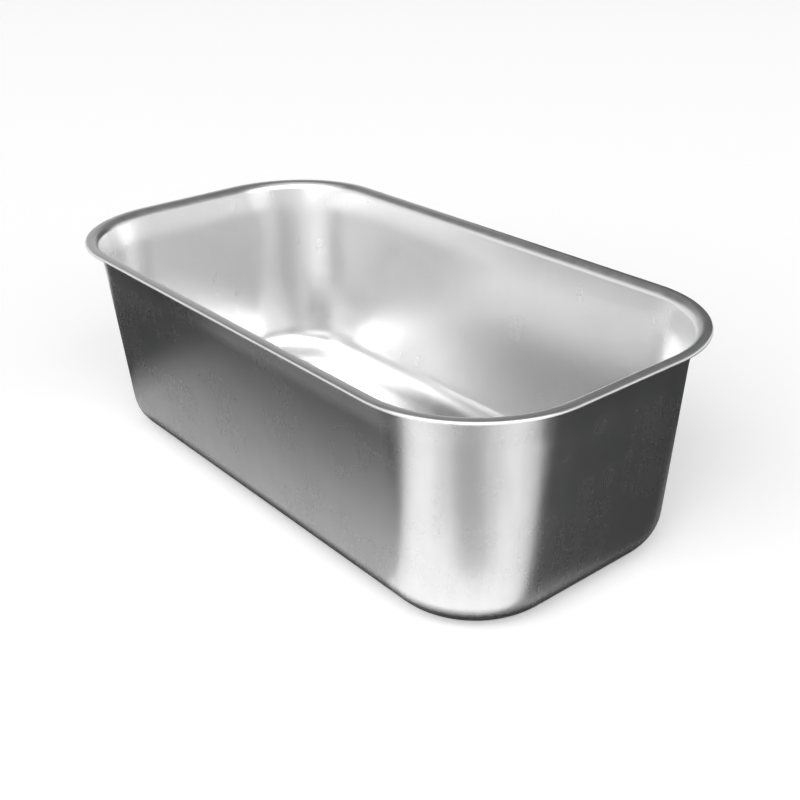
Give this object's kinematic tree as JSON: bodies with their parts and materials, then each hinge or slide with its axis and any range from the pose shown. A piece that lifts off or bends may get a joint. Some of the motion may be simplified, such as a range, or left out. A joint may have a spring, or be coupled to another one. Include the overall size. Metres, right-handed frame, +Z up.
{
  "type": "hotel pan",
  "caption": "Deep rectangular stainless steel food pan drawn from sheet, with large round corners, tapered walls, a flat floor and a narrow rolled rim with a turned-down lip.",
  "frame": {"origin": "under the middle of the floor, on the surface that the pan stands on", "axes": "+X along the pan's length, +Y across its width, +Z up towards the open rim"},
  "size_m": [0.325, 0.17, 0.105],
  "materials": {
    "stainless_steel": "satin, lightly scuffed from use"
  },
  "bodies": {
    "root": {"pan_shell": "stainless_steel"}
  },
  "joints": []
}
